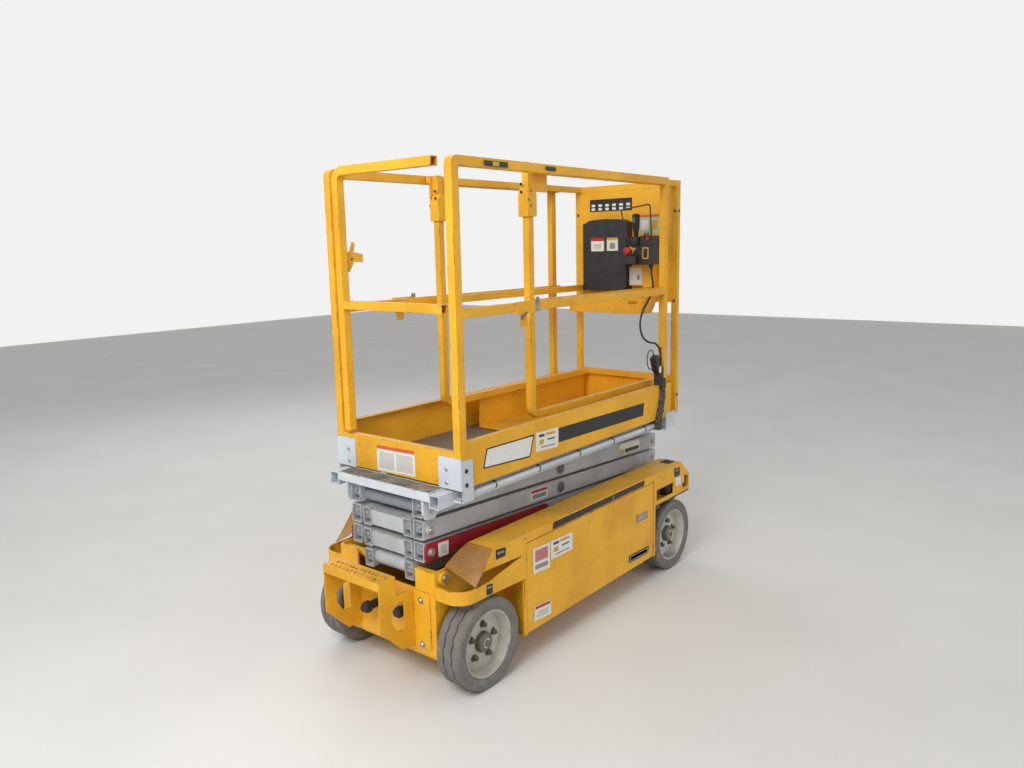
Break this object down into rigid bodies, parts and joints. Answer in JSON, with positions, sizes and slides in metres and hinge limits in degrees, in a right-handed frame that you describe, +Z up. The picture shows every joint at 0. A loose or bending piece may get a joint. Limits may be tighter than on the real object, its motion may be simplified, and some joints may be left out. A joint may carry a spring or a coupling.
{
  "type": "electric scissor lift",
  "caption": "Small electric scissor lift with lowered tube stack, railed platform, roll-out deck, swinging gate and grey tyres.",
  "frame": {"origin": "on the ground under the centre of the machine's box", "axes": "+X along the machine towards the operator's panel, -X towards the gate, +Y to the left side, +Z up"},
  "size_m": [1.882, 0.762, 1.878],
  "materials": {
    "yellow_paint": "worn satin",
    "white_paint": "worn satin",
    "silver_paint": "worn satin",
    "cable_jacket": "satin",
    "braid": "worn",
    "black_paint": "satin",
    "grey_steel": "worn",
    "black_plastic": "satin",
    "battery_case": "matt",
    "grey_metal": "satin",
    "tyre_grey": "scuffed",
    "rim_paint": "worn",
    "red_paint": "worn satin",
    "pad_plastic": "satin",
    "chrome_rod": "polished",
    "deck_metal": "worn",
    "control_case": "satin",
    "red_plastic": "satin"
  },
  "bodies": {
    "chassis": {"chassis_frame": "yellow_paint", "nose_bumper": "yellow_paint", "release_knobs": "black_plastic", "side_cover_right": "yellow_paint", "side_cover_left": "yellow_paint", "wheel_guards": "yellow_paint", "battery_blocks": "battery_case", "pump_and_charger_blocks": "grey_metal", "steer_axle_beam": "black_paint", "drive_axle_beam": "black_paint"},
    "door_right": {"door_right": "yellow_paint"},
    "door_left": {"door_left": "yellow_paint"},
    "knuckle_right": {"knuckle_right": "grey_steel"},
    "knuckle_left": {"knuckle_left": "grey_steel"},
    "tie_rod": {"tie_rod": "grey_steel"},
    "wheel_near_right": {"tyre_near_right": "tyre_grey", "rim_near_right": "rim_paint"},
    "wheel_near_left": {"tyre_near_left": "tyre_grey", "rim_near_left": "rim_paint"},
    "wheel_far_right": {"tyre_far_right": "tyre_grey", "rim_far_right": "rim_paint"},
    "wheel_far_left": {"tyre_far_left": "tyre_grey", "rim_far_left": "rim_paint"},
    "inner_arms_1": {"inner_arms_1": "silver_paint"},
    "inner_arms_2": {"inner_arms_2": "silver_paint"},
    "inner_arms_3": {"inner_arms_3": "silver_paint", "upper_slide_pads": "pad_plastic"},
    "outer_arms_1": {"outer_arms_1": "silver_paint", "prop_bars": "red_paint", "lower_slide_pads": "pad_plastic"},
    "outer_arms_2": {"outer_arms_2": "silver_paint"},
    "outer_arms_3": {"outer_arms_3": "silver_paint"},
    "lift_barrel": {"lift_cylinder_barrel": "black_paint"},
    "lift_rod": {"lift_cylinder_rod": "chrome_rod"},
    "platform": {"platform_frame": "white_paint", "deck_plate": "deck_metal", "toe_board_right": "yellow_paint", "toe_board_left": "yellow_paint", "kick_plate": "yellow_paint", "guard_rail_right": "yellow_paint", "guard_rail_left": "yellow_paint", "cable_conduit": "white_paint", "entry_brackets": "white_paint", "control_cable": "cable_jacket", "plug_strap": "cable_jacket", "cable_plug": "black_plastic", "cable_boot": "braid"},
    "extension": {"extension_deck": "yellow_paint", "extension_rail_right": "yellow_paint", "extension_rail_left": "yellow_paint", "end_frame": "yellow_paint", "end_sheet": "yellow_paint", "document_tray": "yellow_paint", "control_bracket": "yellow_paint", "document_box": "black_plastic", "control_box": "control_case", "stick_guard": "black_paint", "joystick": "black_plastic", "stop_button": "red_plastic"},
    "gate": {"gate": "yellow_paint"}
  },
  "joints": [
    {"name": "lift", "type": "hinge", "parent": "chassis", "child": "inner_arms_1", "pos_m": [-0.7334, 0, 0.4273], "axis": [0, -1, 0], "range_deg": [0, 48.12]},
    {"name": "fold_outer_1", "type": "hinge", "parent": "inner_arms_1", "child": "outer_arms_1", "pos_m": [0.07056, 0, 0.4683], "axis": [0, -1, 0], "range_deg": [-96.24, 0]},
    {"name": "fold_inner_2", "type": "hinge", "parent": "outer_arms_1", "child": "inner_arms_2", "pos_m": [-0.7334, 0, 0.5093], "axis": [0, -1, 0], "range_deg": [0, 96.24]},
    {"name": "fold_outer_2", "type": "hinge", "parent": "inner_arms_2", "child": "outer_arms_2", "pos_m": [0.07056, 0, 0.5503], "axis": [0, -1, 0], "range_deg": [-96.24, 0]},
    {"name": "fold_inner_3", "type": "hinge", "parent": "outer_arms_2", "child": "inner_arms_3", "pos_m": [-0.7334, 0, 0.5913], "axis": [0, -1, 0], "range_deg": [0, 96.24]},
    {"name": "fold_outer_3", "type": "hinge", "parent": "inner_arms_3", "child": "outer_arms_3", "pos_m": [0.07056, 0, 0.6323], "axis": [0, -1, 0], "range_deg": [-96.24, 0]},
    {"name": "platform_level", "type": "hinge", "parent": "outer_arms_3", "child": "platform", "pos_m": [-0.7334, 0, 0.6733], "axis": [0, -1, 0], "range_deg": [0, 48.12]},
    {"name": "cylinder_foot", "type": "hinge", "parent": "outer_arms_1", "child": "lift_barrel", "pos_m": [0.51898, 0, 0.40638], "axis": [0, -1, 0], "range_deg": [-7.95, 0]},
    {"name": "cylinder_stroke", "type": "slide", "parent": "lift_barrel", "child": "lift_rod", "axis": [-0.9947, 0, 0.1032], "range_m": [0, 0.2042]},
    {"name": "roll_out_deck", "type": "slide", "parent": "platform", "child": "extension", "axis": [1, 0, 0], "range_m": [0, 0.6]},
    {"name": "gate_hinge", "type": "hinge", "parent": "platform", "child": "gate", "pos_m": [-0.679, 0.269, 0], "axis": [0, 0, 1], "range_deg": [0, 75]},
    {"name": "door_right_hinge", "type": "hinge", "parent": "chassis", "child": "door_right", "pos_m": [-0.409, -0.377, 0], "axis": [0, 0, -1], "range_deg": [0, 100]},
    {"name": "door_left_hinge", "type": "hinge", "parent": "chassis", "child": "door_left", "pos_m": [-0.409, 0.377, 0], "axis": [0, 0, 1], "range_deg": [0, 100]},
    {"name": "steer_right", "type": "hinge", "parent": "chassis", "child": "knuckle_right", "pos_m": [0.747, -0.34, 0.17], "axis": [0, 0, 1], "range_deg": [-22, 22]},
    {"name": "steer_left", "type": "hinge", "parent": "chassis", "child": "knuckle_left", "pos_m": [0.747, 0.34, 0.17], "axis": [0, 0, 1], "range_deg": [-22, 22]},
    {"name": "tie_rod_slide", "type": "slide", "parent": "chassis", "child": "tie_rod", "axis": [0, -1, 0], "range_m": [-0.0376, 0.0376]},
    {"name": "spin_near_right", "type": "hinge", "parent": "chassis", "child": "wheel_near_right", "pos_m": [-0.6305, -0.3255, 0.17], "axis": [0, 1, 0], "continuous": true},
    {"name": "spin_near_left", "type": "hinge", "parent": "chassis", "child": "wheel_near_left", "pos_m": [-0.6305, 0.3255, 0.17], "axis": [0, 1, 0], "continuous": true},
    {"name": "spin_far_right", "type": "hinge", "parent": "knuckle_right", "child": "wheel_far_right", "pos_m": [0.747, -0.3255, 0.17], "axis": [0, 1, 0], "continuous": true},
    {"name": "spin_far_left", "type": "hinge", "parent": "knuckle_left", "child": "wheel_far_left", "pos_m": [0.747, 0.3255, 0.17], "axis": [0, 1, 0], "continuous": true}
  ],
  "couplings": [
    {"joint": "fold_outer_1", "follows": "lift", "ratio": -2},
    {"joint": "fold_inner_2", "follows": "lift", "ratio": 2},
    {"joint": "fold_outer_2", "follows": "lift", "ratio": -2},
    {"joint": "fold_inner_3", "follows": "lift", "ratio": 2},
    {"joint": "fold_outer_3", "follows": "lift", "ratio": -2},
    {"joint": "platform_level", "follows": "lift", "ratio": 1},
    {"joint": "cylinder_foot", "follows": "lift", "ratio": -0.165},
    {"joint": "cylinder_stroke", "follows": "lift", "m_per_rad": 0.2425},
    {"joint": "steer_left", "follows": "steer_right", "ratio": 1},
    {"joint": "tie_rod_slide", "follows": "steer_right", "m_per_rad": 0.0976}
  ]
}
